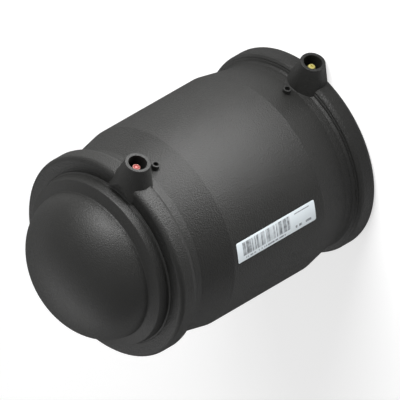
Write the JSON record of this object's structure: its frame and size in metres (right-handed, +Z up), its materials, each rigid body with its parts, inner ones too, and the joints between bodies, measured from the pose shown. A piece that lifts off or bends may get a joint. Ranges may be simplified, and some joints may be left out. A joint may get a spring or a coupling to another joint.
{
  "type": "electrofusion end cap",
  "caption": "Electrofusion cap for the end of a polyethylene pressure pipe: a coupler moulding with a heating coil in its bore, shrouded contact pins and a domed plug in its far end.",
  "frame": {"origin": "centre of the open mouth of the socket, on the plane on which the cap stands", "axes": "+Z up the bore towards the dome, +X through the two terminal shrouds"},
  "size_m": [0.1201, 0.11, 0.1717],
  "materials": {
    "body_pe": "satin",
    "plug_pe": "satin",
    "coil": "satin",
    "pin_brass": "turned",
    "pin_plated": "turned",
    "bush_red": "gloss",
    "indicator": "satin",
    "label": "satin"
  },
  "bodies": {
    "root": {"coupler_body": "body_pe", "end_plug": "plug_pe", "heating_coil": "coil", "plain_contact_pin": "pin_brass", "coded_pin_shell": "pin_plated", "coded_pin_bush": "bush_red", "coded_pin_contact": "pin_brass", "lower_fusion_indicator": "indicator", "upper_fusion_indicator": "indicator", "barcode_label": "label"}
  },
  "joints": []
}
